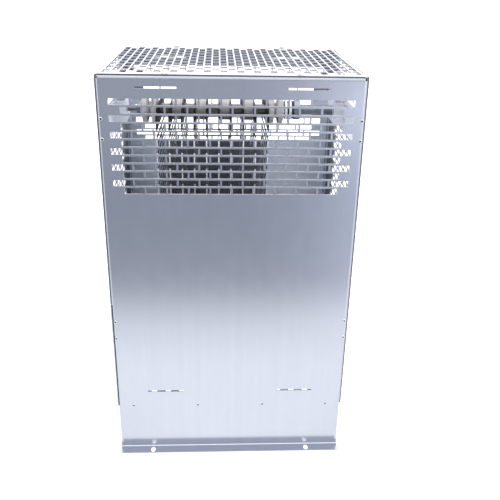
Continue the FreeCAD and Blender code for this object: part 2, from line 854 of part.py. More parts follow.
def terminal_blocks():
    """Three ceramic terminal blocks on the shield, each with a step either side of a barrier."""
    body = new_body("terminal_blocks")
    profile = draw(body, "XZ_Plane", "block_profile", [[
        (shield_face, block_level - block_length / 2),
        (shield_face, block_level + block_length / 2),
        (step_face, block_level + block_length / 2),
        (step_face, block_level + block_barrier / 2),
        (shield_face - block_height, block_level + block_barrier / 2),
        (shield_face - block_height, block_level - block_barrier / 2),
        (step_face, block_level - block_barrier / 2),
        (step_face, block_level - block_length / 2),
    ]], offset=block_pitch * (block_count - 1) / 2)
    block = pad(body, profile, block_depth, both_ways=True)
    repeat(body, block, "Y_Axis", block_pitch, block_count)
    return body


def terminal_plates():
    """Plated tags on the block steps that carry no strap."""
    body = new_body("terminal_plates")
    first = block_pitch * (block_count - 1) / 2
    low = draw(body, "XZ_Plane", "low_tag", [
        box_outline(step_face - strap_thickness, block_level - block_length / 2,
                    step_face, block_level - block_barrier / 2)], offset=first)
    repeat(body, pad(body, low, strap_width, both_ways=True), "Y_Axis", block_pitch, block_count)
    high = draw(body, "XZ_Plane", "high_tag", [
        box_outline(step_face - strap_thickness, block_level + block_barrier / 2,
                    step_face, block_level + block_length / 2)])
    pad(body, high, strap_width, both_ways=True)
    return body


def terminal_screws():
    """A clamping screw on every terminal."""
    body = new_body("terminal_screws")
    first = -1 * block_pitch * (block_count - 1) / 2
    middle = (block_length + block_barrier) / 4
    head = draw(body, "YZ_Plane", "terminal_screw", [
        hexagon(first, block_level - middle, terminal_screw_width / 2)], offset=step_face - strap_thickness)
    screw = pad(body, head, terminal_screw_height, back=True)
    repeat(body, screw, "Y_Axis", block_pitch, block_count, "Z_Axis", 2 * middle, 2)
    return body


def connection_strap(name, face, side, row):
    """Flat bar from the lower end of an outer grid, through the shield, onto a terminal."""
    body = new_body(name)
    outer = face + side * strap_thickness
    high = strap_level + strap_thickness
    grid_end = lower_rod_level - grid_past_rod + strap_lap
    tag_face = step_face - strap_thickness
    near, far = (outer, face) if side < 0 else (face, outer)
    shape = [
        (far, grid_end),
        (near, grid_end),
        (near, high),
        (tag_face, high),
        (tag_face, block_level + block_barrier / 2),
        (step_face, block_level + block_barrier / 2),
        (step_face, strap_level),
        (far, strap_level),
    ]
    bar = draw(body, "XZ_Plane", name + "_bar", [shape], offset=-1 * row)
    pad(body, bar, strap_width, both_ways=True)
    return body


def strap_bolts():
    """The bolt that holds each strap on its grid."""
    body = new_body("strap_bolts")
    level = lower_rod_level - grid_past_rod + strap_lap / 2
    half = strap_bolt_width / 2
    for index, (start, row) in enumerate((
        (first_grid - grid_skin / 2 - strap_thickness - strap_bolt_height, block_pitch),
        (last_grid + grid_skin / 2 + strap_thickness, -1 * block_pitch),
    )):
        head = draw(body, "YZ_Plane", "strap_bolt_" + str(index), [hexagon(row, level, half)], offset=start)
        pad(body, head, strap_bolt_height)
    return body


def thermal_switch():
    """Temperature switch on the shield, with two tags."""
    body = new_body("thermal_switch")
    row = -1 * half_depth + switch_from_front
    flange = draw(body, "YZ_Plane", "switch_flange", [
        slot_outline(row - switch_length / 2, block_level - switch_width / 2, switch_length, switch_width)],
        offset=shield_face - switch_flange)
    pad(body, flange, switch_flange)
    can = draw(body, "YZ_Plane", "switch_can", [octagon(row, block_level, switch_width / 2 - skin)],
               offset=shield_face - switch_height)
    pad(body, can, switch_height - switch_flange)
    tags = draw(body, "YZ_Plane", "switch_tags", [
        slot_outline(row + sign * switch_width / 4 - strap_thickness / 4, block_level - switch_width / 4,
                     strap_thickness / 2, switch_width / 2)
        for sign in (-1, 1)
    ], offset=shield_face - switch_height - switch_width / 2)
    pad(body, tags, switch_width / 2)
    return body


def earth_stud():
    """Welded earth stud that stands on the tray in the terminal compartment."""
    body = new_body("earth_stud")
    row = -1 * half_depth + stud_from_front
    outline = octagon(cable_hole_centre, row, stud_diameter / 2)
    sketch = draw(body, "XY_Plane", "stud", [outline], offset=tray_level)
    pad(body, sketch, stud_length)
    return body


def earth_nuts():
    """Two nuts on the earth stud that clamp the cable's tag between them."""
    body = new_body("earth_nuts")
    row = -1 * half_depth + stud_from_front
    for index, low in enumerate((tray_level, tray_level + 2 * nut_thickness)):
        outlines = [
            hexagon(cable_hole_centre, row, nut_width / 2),
            octagon(cable_hole_centre, row, stud_diameter / 2),
        ]
        pad(body, draw(body, "XY_Plane", "earth_nut_" + str(index), outlines, offset=low), nut_thickness)
    return body


def hood_screws():
    """Four screws through the hood into the panels' top folds."""
    body = new_body("hood_screws")
    row = half_depth - hood_screw_inset
    sketch = draw(body, "XY_Plane", "hood_screw", [
        hexagon(-1 * hood_screw_spacing / 2, -1 * row, screw_head_width / 2)], offset=body_height)
    repeat(body, pad(body, sketch, screw_head_height), "X_Axis", hood_screw_spacing, 2, "Y_Axis", 2 * row, 2)
    return body


def cover_screws():
    """Two screws along the lower edge of the terminal cover."""
    body = new_body("cover_screws")
    sketch = draw(body, "YZ_Plane", "cover_screw", [
        hexagon(-1 * side_screw_row, cover_bottom + side_screw_margin, screw_head_width / 2)],
        offset=-1 * half_width)
    repeat(body, pad(body, sketch, side_screw_head_height, back=True), "Y_Axis", 2 * side_screw_row, 2)
    return body


def side_screws():
    """Screws down the rear edge of the hood's side and of the right side panel."""
    body = new_body("side_screws")
    top = body_height - side_screw_drop
    hood_low = cover_top + cover_gap + side_screw_margin
    left = draw(body, "YZ_Plane", "left_screws", [
        hexagon(side_screw_row, level, screw_head_width / 2)
        for level in (hood_low, top)
    ], offset=-1 * half_width)
    pad(body, left, side_screw_head_height, back=True)
    right = draw(body, "YZ_Plane", "right_screws", [
        hexagon(side_screw_row, level, screw_head_width / 2)
        for level in (cover_bottom + side_screw_margin, hood_low, top)], offset=half_width)
    pad(body, right, side_screw_head_height)
    return body


def bank_parts(word, level):
    """Everything that one tie rod carries."""
    first_gap = first_grid + grid_skin / 2
    second_gap = first_gap + grid_pitch
    few = (grid_count - 1) // 2
    many = grid_count - 1 - few
    upper = word == "upper"
    spacer_start, spacer_count = (second_gap, few) if upper else (first_gap, many)
    link_start, link_count = (first_gap, many) if upper else (second_gap, few)
    link_level = level + grid_past_rod - link_height if upper else level - grid_past_rod
    yield rod_brackets(word + "_rod_brackets", level)
    yield tie_rod(word + "_tie_rod", level)
    yield insulating_tube(word + "_insulating_tube", level)
    yield ceramic_spacers(word + "_ceramic_spacers", level, spacer_start, spacer_count)
    yield grid_links(word + "_grid_links", link_level, link_start, link_count)
    yield end_insulators(word + "_end_insulators", level)
    yield nuts(word + "_rod_nuts", level)


def all_parts():
    """Every sub-part in turn, from the housing inwards."""
    yield front_panel()
    yield hood()
    yield right_side()
    yield terminal_cover()
    yield bottom_tray()
    yield cable_bushings()
    for word, level in (("upper", upper_carrier_level), ("lower", lower_carrier_level)):
        yield carrier(word + "_carrier_left", -1, level)
        yield carrier(word + "_carrier_right", 1, level)
        yield from bank_parts(word, level + rod_above_carrier)
    yield resistor_grid("resistor_grid_01")
    yield heat_shield()
    yield terminal_blocks()
    yield terminal_plates()
    yield terminal_screws()
    yield connection_strap("left_connection_strap", first_grid - grid_skin / 2, -1, block_pitch)
    yield connection_strap("right_connection_strap", last_grid + grid_skin / 2, 1, -1 * block_pitch)
    yield strap_bolts()
    yield thermal_switch()
    yield earth_stud()
    yield earth_nuts()
    yield hood_screws()
    yield cover_screws()
    yield side_screws()


parts = []
for part in all_parts():
    doc.recompute()
    parts.append(part)
named = {part.Label: part for part in parts}
parts.append(copy_of(named["front_panel"], "rear_panel", turn=180))
for index in range(1, grid_count):
    name = "resistor_grid_" + str(index + 1).zfill(2)
    parts.append(copy_of(named["resistor_grid_01"], name, across=grid_pitch * index))
doc.recompute()

for item in doc.Objects:
    if "Invalid" in item.State or "Error" in item.State:
        raise RuntimeError(item.Label + " failed: " + ", ".join(item.State))
for part in parts:
    if part.Shape.isNull() or not part.Shape.isValid():
        raise RuntimeError(part.Label + " has no sound shape")

os.makedirs(PARTS_FOLDER, exist_ok=True)
for part in parts:
    part.Shape.exportStep(os.path.join(PARTS_FOLDER, part.Label + ".step"))
    print(part.Label, len(part.Shape.Solids), "solids", round(part.Shape.Volume), "mm3")
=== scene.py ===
import json
import math

import bmesh
import bpy
from mathutils import Matrix, Vector


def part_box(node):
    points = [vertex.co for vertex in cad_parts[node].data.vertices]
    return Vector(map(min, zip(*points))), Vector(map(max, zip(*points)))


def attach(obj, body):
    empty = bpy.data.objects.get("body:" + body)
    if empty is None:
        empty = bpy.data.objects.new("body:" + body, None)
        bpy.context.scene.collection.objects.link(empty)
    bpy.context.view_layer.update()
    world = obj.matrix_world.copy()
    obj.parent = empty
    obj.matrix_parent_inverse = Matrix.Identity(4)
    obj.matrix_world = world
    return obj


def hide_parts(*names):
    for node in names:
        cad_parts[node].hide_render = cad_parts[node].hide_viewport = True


# The looks of a floor-standing braking resistor: galvanised sheet with rows of staggered vents, and a bank of
# stamped grids on ceramic-insulated rods behind them. Metres, +Z up, the front panel faces -Y.

MM = 0.001
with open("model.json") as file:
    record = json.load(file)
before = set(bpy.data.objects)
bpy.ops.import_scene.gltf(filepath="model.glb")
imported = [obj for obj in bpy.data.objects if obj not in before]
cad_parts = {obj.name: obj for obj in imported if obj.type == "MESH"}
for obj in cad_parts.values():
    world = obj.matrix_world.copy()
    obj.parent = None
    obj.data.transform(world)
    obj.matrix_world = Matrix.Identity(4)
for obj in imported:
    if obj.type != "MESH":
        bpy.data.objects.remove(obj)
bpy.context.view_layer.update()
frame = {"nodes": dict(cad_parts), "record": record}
nodes = frame["nodes"]

# The sheet of the housing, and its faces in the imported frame
SKIN = 1.5 * MM
FOOT_REACH = 14 * MM
hood_low, hood_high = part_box("hood_panel")
side_low, side_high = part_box("right_side_panel")
FRONT_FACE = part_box("front_panel")[0].y + FOOT_REACH
HALF_WIDTH = side_high.x
HALF_DEPTH = hood_high.y
TOP_FACE = hood_high.z
TRAY_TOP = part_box("bottom_grille")[1].z

# The running bond of vents
VENT_LENGTH = 22.4 * MM
VENT_WIDTH = 7.1 * MM
VENT_BAR = 2 * MM
VENT_PITCH = VENT_LENGTH + VENT_BAR
ROW_PITCH = VENT_WIDTH + VENT_BAR
PUNCH_EASE = 0.2 * MM
TOP_COLUMN_PAIRS = 15
TOP_ROWS = 9
BOTTOM_COLUMN_PAIRS = 13
SIDE_ROW_PAIRS = 10
SIDE_VENTS = 7
SIDE_VENT_DROP = 7.15 * MM
SIDE_ROWS_FROM_FRONT = 14.5 * MM

# Painted shade on the inner faces behind the bank and in their top corners, and where a side wall lies in shade,
# from no change to the full change
BANK_MIDDLE = -22 * MM
PAINTED_SHADE_BESIDE_BANK = (88 * MM, 70 * MM)
PAINTED_SHADE_BELOW = (395 * MM, 370 * MM)
PAINTED_SHADE_CORNER_ASIDE = (112 * MM, 122 * MM)
PAINTED_SHADE_CORNER_ABOVE = (415 * MM, 425 * MM)
SHADED_DEPTHS = (45 * MM, 80 * MM)
TONE_STEP = 2 * MM


class Maths:
    """A node socket that adds a Math node for each operation done on it."""

    def __init__(self, build, socket):
        self.build = build
        self.socket = socket

    def join(self, operation, *items):
        values = {place: item for place, item in enumerate(items)}
        return self.build.add("ShaderNodeMath", {"operation": operation}, values)

    def __add__(self, other):
        return self.join("ADD", self, other)

    __radd__ = __add__

    def __sub__(self, other):
        return self.join("SUBTRACT", self, other)

    def __rsub__(self, other):
        return self.join("SUBTRACT", other, self)

    def __mul__(self, other):
        return self.join("MULTIPLY", self, other)

    __rmul__ = __mul__

    def __truediv__(self, other):
        return self.join("DIVIDE", self, other)

    def power(self, other):
        return self.join("POWER", self, other)

    def absolute(self):
        return self.join("ABSOLUTE", self)

    def at_least(self, other):
        return self.join("MAXIMUM", self, other)

    def at_most(self, other):
        return self.join("MINIMUM", self, other)


class Finish:
    """One procedural material, made node by node."""

    def __init__(self, name, viewport):
        self.material = bpy.data.materials.new(name)
        self.material.use_nodes = True
        self.material.diffuse_color = (*viewport, 1)
        self.tree = self.material.node_tree
        self.tree.nodes.clear()
        self.output = self.tree.nodes.new("ShaderNodeOutputMaterial")
        self.place = self.add("ShaderNodeTexCoord", take="Object")

    def add(self, kind, settings=None, inputs=None, take=0):
        """Any node: its settings first, then the values or links of its sockets."""
        node = self.tree.nodes.new(kind)
        for name, value in (settings or {}).items():
            setattr(node, name, value)
        for name, value in (inputs or {}).items():
            self.feed(node.inputs[name], value)
        return Maths(self, node.outputs[take])

    def feed(self, socket, value):
        if isinstance(value, Maths):
            self.tree.links.new(value.socket, socket)
        elif hasattr(value, "__len__") and len(value) == 3 and socket.type == "RGBA":
            socket.default_value = (*value, 1)
        else:
            socket.default_value = value

    def axes(self):
        """The object's own place, as one value for each axis."""
        apart = self.add("ShaderNodeSeparateXYZ", inputs={0: self.place}).socket.node
        return [Maths(self, socket) for socket in apart.outputs]

    def stretched(self, across, deep, up):
        """The object's own place, scaled apart along each axis."""
        scaling = {0: self.place, 1: (across, deep, up)}
        return self.add("ShaderNodeVectorMath", {"operation": "MULTIPLY"}, scaling)

    def fade(self, value, start, end, low=0, high=1):
        """A value that runs from low to high while another runs from start to end."""
        return self.add("ShaderNodeMapRange", {}, {0: value, 1: start, 2: end, 3: low, 4: high})

    def ramp(self, amount, stops):
        """A colour that follows an amount, from (amount, colour) stops."""
        colours = self.add("ShaderNodeValToRGB", {}, {0: amount})
        elements = colours.socket.node.color_ramp.elements
        while len(elements) < len(stops):
            elements.new(0.5)
        for element, (position, colour) in zip(elements, stops):
            element.position = position
            element.color = (*colour, 1)
        return colours

    def noise(self, place, scale, detail=2, roughness=0.5):
        return self.add("ShaderNodeTexNoise", {}, {
            "Vector": place, "Scale": scale, "Detail": detail, "Roughness": roughness})

    def mix(self, amount, first, second):
        return self.add("ShaderNodeMix", {"data_type": "RGBA"}, {0: amount, 6: first, 7: second}, take=2)

    def bump(self, height, strength, distance):
        return self.add("ShaderNodeBump", {}, {"Height": height, "Strength": strength, "Distance": distance})

    def shade(self, **sockets):
        """The surface itself; spaces in socket names are written as underscores."""
        named = {name.replace("_", " "): value for name, value in sockets.items()}
        surface = self.add("ShaderNodeBsdfPrincipled", {}, named)
        self.feed(self.output.inputs["Surface"], surface)
        return self.material


def galvanised(name, light, dark, roughness, spread, metal=1.0):
    """Hot-dip galvanised sheet: fine rolling grain up the sheet and a faint cloudy spangle."""
    finish = Finish(name, light)
    grain = finish.noise(finish.stretched(1, 1, 0.04), 900, 3, 0.6)
    streaks = finish.noise(finish.stretched(1, 1, 0.012), 160, 2)
    spangle = finish.noise(finish.stretched(1, 1, 0.7), 70, 3, 0.6)
    cloud = grain * 0.35 + streaks * 0.25 + spangle * 0.4
    tone = finish.mix(cloud, dark, light)
    rough = roughness + (spangle - 0.5) * spread + (grain - 0.5) * (spread * 0.6)
    relief = finish.bump(grain, 0.08, 0.0002)
    return finish.shade(Base_Color=tone, Metallic=metal, Roughness=rough, Normal=relief)


def inside_sheet(name, low_tone, high_tone, change, metal, painted_bank_shade=None, rear_shade=None):
    """Inner sheet in painted light and shade: one tone below the height of the change and another above it.

    The first optional tone paints shade on a panel behind the bank and in its top corners. The second paints
    shade on the rear of a side wall.
    """
    finish = Finish(name, low_tone)
    across, depth, height = finish.axes()
    # The two tones by height are painted light and shade
    tone = finish.mix(finish.fade(height, change, change + TONE_STEP), low_tone, high_tone)
    cloud = finish.noise(finish.stretched(1, 1, 0.3), 60, 3, 0.6)
    # Painted shade behind the bank and in the top corners
    if painted_bank_shade:
        beside = finish.fade((across - BANK_MIDDLE).absolute() + cloud * 0.01, *PAINTED_SHADE_BESIDE_BANK)
        below = finish.fade(height, *PAINTED_SHADE_BELOW)
        tone = finish.mix(beside * below, tone, painted_bank_shade)
        aside = finish.fade(across.absolute(), *PAINTED_SHADE_CORNER_ASIDE)
        above = finish.fade(height, *PAINTED_SHADE_CORNER_ABOVE)
        tone = finish.mix(aside * above * 0.75, tone, painted_bank_shade)
    if rear_shade:
        tone = finish.mix(finish.fade(depth, *SHADED_DEPTHS) * 0.85, tone, rear_shade)
    tone = finish.mix(cloud * (0.06 if rear_shade else 0.25), tone, (0.2, 0.22, 0.25))
    return finish.shade(Base_Color=tone, Metallic=metal, Roughness=0.45 + cloud * 0.15,
                        Normal=finish.bump(cloud, 0.05, 0.0003))


def rolled_grid(name):
    """Stamped resistance alloy, darkened and stained by heat."""
    finish = Finish(name, (0.2, 0.2, 0.2))
    stain = finish.noise(finish.place, 60, 4, 0.6)
    scale = finish.noise(finish.stretched(1, 1, 0.3), 500, 2)
    tone = finish.mix(stain, (0.018, 0.018, 0.021), (0.05, 0.05, 0.057))
    rough = 0.42 + scale * 0.2
    return finish.shade(Base_Color=tone, Metallic=1.0, Roughness=rough, Normal=finish.bump(scale, 0.1, 0.0002))


def fired_ceramic(name):
    """Unglazed steatite, dulled to grey, with a fine gritty surface and faint firing marks."""
    finish = Finish(name, (0.7, 0.65, 0.55))
    grit = finish.noise(finish.place, 2500, 2)
    firing = finish.noise(finish.place, 90, 3, 0.6)
    tone = finish.mix(firing, (0.30, 0.282, 0.275), (0.44, 0.42, 0.412))
    return finish.shade(Base_Color=tone, Roughness=0.55 + grit * 0.2, Normal=finish.bump(grit, 0.25, 0.0002))


def pressed_mica(name):
    """Layered mica tube with flakes that run along it."""
    finish = Finish(name, (0.5, 0.42, 0.3))
    flakes = finish.add("ShaderNodeTexVoronoi", {}, {"Vector": finish.stretched(0.4, 1, 1), "Scale": 500})
    tone = finish.mix(flakes, (0.06, 0.052, 0.046), (0.17, 0.145, 0.125))
    return finish.shade(Base_Color=tone, Roughness=0.45, Coat_Weight=0.35, Normal=finish.bump(flakes, 0.2, 0.0002))


def tinned(name):
    """Tinned copper strip, soft satin with fine draw marks."""
    finish = Finish(name, (0.7, 0.68, 0.62))
    draw_marks = finish.noise(finish.stretched(0.05, 1, 1), 1200, 2)
    patches = finish.noise(finish.place, 80, 3)
    tone = finish.mix(patches, (0.62, 0.60, 0.55), (0.80, 0.79, 0.76))
    return finish.shade(Base_Color=tone, Metallic=1.0, Roughness=0.28 + draw_marks * 0.2,
                        Normal=finish.bump(draw_marks, 0.08, 0.0001))


def moulded(name, tone, other):
    """Moulded plastic with a fine spark texture."""
    finish = Finish(name, tone)
    spark = finish.noise(finish.place, 1800, 2)
    return finish.shade(Base_Color=finish.mix(spark, tone, other), Roughness=0.5 + spark * 0.15,
                        Normal=finish.bump(spark, 0.2, 0.0001))


def zinc_plated(name):
    """Bright zinc plate on turned and cold-headed steel."""
    finish = Finish(name, (0.6, 0.6, 0.6))
    turning = finish.noise(finish.place, 1400, 2)
    dulling = finish.noise(finish.place, 200, 3)
    tone = finish.mix(dulling, (0.48, 0.48, 0.47), (0.74, 0.74, 0.73))
    return finish.shade(Base_Color=tone, Metallic=1.0, Roughness=0.25 + turning * 0.2,
                        Normal=finish.bump(turning, 0.06, 0.0001))


def oiled_rod(name):
    """Dark threaded rod, oiled against rust."""
    finish = Finish(name, (0.1, 0.1, 0.1))
    threads = finish.add("ShaderNodeTexWave", {"bands_direction": "X"}, {"Vector": finish.place, "Scale": 320})
    stain = finish.noise(finish.place, 150, 3)
    tone = finish.mix(stain, (0.13, 0.14, 0.155), (0.26, 0.275, 0.30))
    return finish.shade(Base_Color=tone, Metallic=1.0, Roughness=0.3 + stain * 0.15,
                        Normal=finish.bump(threads, 0.4, 0.0004))


def painted_shade_finish(name):
    """Painted shade for a recess, in a rivet's middle or between two washers."""
    finish = Finish(name, (0.02, 0.02, 0.02))
    shade_mottle = finish.noise(finish.place, 900, 2)
    tone = finish.mix(shade_mottle, (0.012, 0.012, 0.014), (0.03, 0.03, 0.034))
    return finish.shade(Base_Color=tone, Roughness=0.7 + shade_mottle * 0.2)


finishes = {
    "housing_sheet": galvanised("galvanised_housing", (0.398, 0.416, 0.47), (0.336, 0.351, 0.40), 0.2, 0.06),
    "inner_sheet": galvanised(
        "galvanised_inner_sheet", (0.93, 0.94, 1.0), (0.84, 0.85, 0.93), 0.36, 0.06, 0.45),
    "grid_steel": rolled_grid("stamped_grid_alloy"),
    "ceramic": fired_ceramic("fired_ceramic"),
    "mica": pressed_mica("pressed_mica"),
    "strap_metal": tinned("tinned_strip"),
    "bushing_plastic": moulded("black_bushing_plastic", (0.02, 0.02, 0.022), (0.035, 0.035, 0.038)),
    "switch_body": moulded("dark_switch_moulding", (0.04, 0.035, 0.03), (0.06, 0.05, 0.045)),
    "fastener_steel": zinc_plated("zinc_plated_fastener"),
}
recess_shade = painted_shade_finish("dark_rivet_recess")
rod_finish = oiled_rod("oiled_rod")
# Painted light and shade on the inner faces: front, rear and tray lit below 464.5 mm and shaded above it, with
# painted shade behind the bank and in the top corners; side walls shaded below 452 mm and lit above it, darker to
# the rear; vent walls in painted shade above 485 mm
inside_finish = inside_sheet("galvanised_inside", (0.72, 0.77, 0.88), (0.24, 0.25, 0.31), 464.5 * MM, 0.45,
                             painted_bank_shade=(0.095, 0.10, 0.13))
wall_finish = inside_sheet("galvanised_wall_inside", (0.22, 0.245, 0.29), (0.70, 0.72, 0.77), 452 * MM, 0.1,
                           rear_shade=(0.045, 0.05, 0.062))
vent_edge = inside_sheet("punched_vent_edge", (0.42, 0.435, 0.47), (0.22, 0.23, 0.27), 485 * MM, 0.1)
# The top bend of the front, rear and bottom sheets, in a darker copy of the housing finish as painted shade
shaded_bend_finish = galvanised("folded_edge_painted_shade", (0.27, 0.28, 0.31), (0.23, 0.24, 0.27), 0.3, 0.06)
bracket_finish = galvanised("bracket_sheet", (0.70, 0.71, 0.77), (0.62, 0.63, 0.69), 0.36, 0.06, 0.45)
# A lighter copy of the sheet finish for the grid loops' front and rear faces, as a painted highlight
loop_highlight = galvanised("painted_highlight_on_grid_loops", (0.85, 0.82, 0.85), (0.62, 0.60, 0.63), 0.35, 0.1, 0.3)
nut_finish = galvanised("passivated_nut", (0.25, 0.28, 0.31), (0.17, 0.19, 0.215), 0.35, 0.1)
cut_edge = galvanised("sheared_sheet_edge", (0.20, 0.20, 0.22), (0.12, 0.12, 0.14), 0.4, 0.1)

slot_of = {entry["node"]: entry["material_slot"] for entry in frame["record"]["subparts"]}
for name, node in nodes.items():
    material = finishes[slot_of[name]]
    if name.endswith("tie_rod"):
        material = rod_finish
    elif name.endswith("rod_nuts"):
        material = nut_finish
    elif name.endswith("rod_brackets"):
        material = bracket_finish
    if node.material_slots:
        for place in node.material_slots:
            place.material = material
    else:
        node.data.materials.append(material)


# How deep the walls of the vents lie in a panel, how far they reach to a side, and how far down its top bend comes
VENT_WALL_DEPTHS = (0.5 * MM, 1.45 * MM)
VENTED_HALF = 140 * MM
TOP_BEND = 6 * MM


def paint_inside_light_and_shade(name, facing):
    """The inner face of a housing sheet in painted light and shade, the bare walls of its vents,
    and the bend along its top in painted shade.
    """
    mesh = nodes[name].data
    first = len(mesh.materials)
    for finish in (inside_finish, vent_edge, shaded_bend_finish):
        mesh.materials.append(finish)
    for side in mesh.polygons:
        in_sheet = VENT_WALL_DEPTHS[0] < HALF_DEPTH - abs(side.center.y) < VENT_WALL_DEPTHS[1]
        if side.normal.dot(Vector(facing)) > 0.7:
            side.material_index = first
        elif in_sheet and abs(side.normal.y) < 0.1 and abs(side.center.x) < VENTED_HALF:
            side.material_index = first + 1
        elif side.center.z > TOP_FACE - TOP_BEND and 0.25 < side.normal.z < 0.97:
            side.material_index = first + 2


paint_inside_light_and_shade("front_panel", (0, 1, 0))
paint_inside_light_and_shade("rear_panel", (0, -1, 0))
paint_inside_light_and_shade("bottom_grille", (0, 0, 1))


def piece(name, shape, slot, replaced=()):
    """A finished mesh as a piece of the object, in its slot and on its body."""
    mesh = bpy.data.meshes.new(name)
    bmesh.ops.recalc_face_normals(shape, faces=shape.faces)
    shape.to_mesh(mesh)
    shape.free()
    item = bpy.data.objects.new(name, mesh)
    bpy.context.scene.collection.objects.link(item)
    mesh.materials.append(finishes[slot])
    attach(item, "root")
    if replaced:
        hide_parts(*replaced)
    return item


def add_box(shape, low, high):
    """One closed box between two corners."""
    low, high = Vector(low), Vector(high)
    for corner in bmesh.ops.create_cube(shape, size=1)["verts"]:
        corner.co = Vector((
            (low[axis] + high[axis]) / 2 + corner.co[axis] * (high[axis] - low[axis]) for axis in range(3)))


# The materials of a pierced sheet, in their order on its mesh
OUTER, INNER, RIM, VENT_WALL, LIT_VENT_WALL = range(5)


def add_lattice(shape, across, along, filled, place_of, marks=(OUTER, OUTER, OUTER, OUTER)):
    """A closed sheet made of the lattice cells that are filled.

    place_of puts a corner on the sheet's outer or inner face. marks are the materials of the outer face, the inner
    face, the sheared rim and the walls of the vents.
    """
    cells = {(column, row) for column in range(len(across) - 1) for row in range(len(along) - 1)
             if filled((across[column] + across[column + 1]) / 2, (along[row] + along[row + 1]) / 2)}
    corners = {}

    def corner(place, face):
        if (place, face) not in corners:
            corners[place, face] = shape.verts.new(place_of(across[place[0]], along[place[1]], face))
        return corners[place, face]

    for column, row in sorted(cells):
        around = [(column, row), (column + 1, row), (column + 1, row + 1), (column, row + 1)]
        for face in (0, 1):
            shape.faces.new([corner(place, face) for place in around]).material_index = marks[face]
        neighbours = [(column, row - 1), (column + 1, row), (column, row + 1), (column - 1, row)]
        for side, neighbour in enumerate(neighbours):
            if neighbour not in cells:
                first, second = around[side], around[(side + 1) % 4]
                wall = [corner(first, 0), corner(second, 0), corner(second, 1), corner(first, 1)]
                outside = neighbour[0] in (-1, len(across) - 1) or neighbour[1] in (-1, len(along) - 1)
                shape.faces.new(wall).material_index = marks[RIM if outside else VENT_WALL]


def column_lanes(first_place, pairs):
    """Long and short columns of vents in a level sheet, as (middle, start, count)."""
    start = -VENT_PITCH * TOP_ROWS / 2 + VENT_BAR / 2
    lanes = []
    for step in range(2 * pairs + 1):
        short = step % 2
        lanes.append((first_place + step * ROW_PITCH, start + short * VENT_PITCH / 2, TOP_ROWS - short))
    return lanes


def row_lanes():
    """Long and short rows of vents in an upright side sheet."""
    top_row = TOP_FACE - SIDE_VENT_DROP - VENT_WIDTH / 2
    lanes = []
    for step in range(2 * SIDE_ROW_PAIRS + 1):
        short = step % 2
        start = -HALF_DEPTH + SIDE_ROWS_FROM_FRONT + short * VENT_PITCH / 2
        lanes.append((top_row - step * ROW_PITCH, start, SIDE_VENTS - short))
    return lanes


def vents_of(lanes, shift=0):
    """Every vent of some lanes, as (low across, high across, low along, high along)."""
    half = VENT_WIDTH / 2 + PUNCH_EASE
    vents = []
    for middle, first_start, count in lanes:
        for step in range(count):
            start = first_start + step * VENT_PITCH
            vents.append((middle + shift - half, middle + shift + half,
                          start - PUNCH_EASE, start + VENT_LENGTH + PUNCH_EASE))
    return vents


def breaks(*groups):
    """Lattice lines in order, with near doubles left out."""
    return sorted({round(line, 7) for group in groups for line in group})


def pierced(vents):
    """A test for the middle of a lattice cell: is there metal there?"""
    by_lane = {}
    for low, high, start, end in vents:
        by_lane.setdefault((round(low, 7), round(high, 7)), []).append((start, end))

    def metal(across, along):
        return not any(low < across < high and any(start < along < end for start, end in spans)
                       for (low, high), spans in by_lane.items())
    return metal


# The hood: its left wall, a bend, the top, a second bend and a short fold, laid out flat along the bends
OUTER_BEND = 3 * MM
BEND_RUN = OUTER_BEND * math.pi / 2
BEND_STEPS = 5
EDGE_SETBACK = 2.4 * MM
HOOD_FOLD = 3 * MM
FOLD_INSET = 13 * MM
TAB_GAP = 0.01 * MM
SHEET_MARKS = (OUTER, INNER, RIM, VENT_WALL)
hood_right = HALF_WIDTH - SKIN
left_bend = -HALF_WIDTH + OUTER_BEND
right_bend = hood_right - OUTER_BEND
bend_height = TOP_FACE - OUTER_BEND
wall_end = bend_height - hood_low.z
top_start = wall_end + BEND_RUN
top_end = top_start + hood_right + HALF_WIDTH - 2 * OUTER_BEND
fold_start = top_end + BEND_RUN
fold_end = fold_start + HOOD_FOLD
sheet_half = HALF_DEPTH - EDGE_SETBACK
fold_half = HALF_DEPTH - FOLD_INSET


def hood_place(run, deep, face):
    """Where a place of the flat hood lies once it is bent."""
    reach = OUTER_BEND - SKIN * face
    if run <= wall_end:
        return (-HALF_WIDTH + SKIN * face, deep, hood_low.z + run)
    if run < top_start:
        turn = (run - wall_end) / OUTER_BEND
        return (left_bend - reach * math.cos(turn), deep, bend_height + reach * math.sin(turn))
    if run <= top_end:
        return (left_bend + run - top_start, deep, TOP_FACE - SKIN * face)
    if run < fold_start:
        turn = (run - top_end) / OUTER_BEND
        return (right_bend + reach * math.sin(turn), deep, bend_height + reach * math.cos(turn))
    return (hood_right - SKIN * face, deep, bend_height - (run - fold_start))


last_column = ROW_PITCH * TOP_COLUMN_PAIRS
top_vents = vents_of(column_lanes(-last_column, TOP_COLUMN_PAIRS), top_start + HALF_WIDTH - OUTER_BEND)
wall_vents = vents_of(row_lanes(), -hood_low.z)
hood_vents = top_vents + wall_vents
hood_metal = pierced(hood_vents)
bends = [start + BEND_RUN * step / BEND_STEPS
         for start in (wall_end, top_end) for step in range(BEND_STEPS + 1)]
shape = bmesh.new()
add_lattice(
    shape,
    breaks((0, fold_end), bends, *(vent[:2] for vent in hood_vents)),
    breaks((-sheet_half, sheet_half, -fold_half, fold_half), *(vent[2:] for vent in hood_vents)),
    lambda run, deep: hood_metal(run, deep) and (run < top_end or abs(deep) < fold_half),
    hood_place, SHEET_MARKS)
for side in (-1, 1):
    front, rear = sorted((side * fold_half, side * sheet_half))
    add_box(shape, (right_bend + TAB_GAP, front, TOP_FACE - SKIN), (hood_right, rear, TOP_FACE))
hood_sheet = piece("hood_sheet", shape, "housing_sheet", ["hood_panel"])

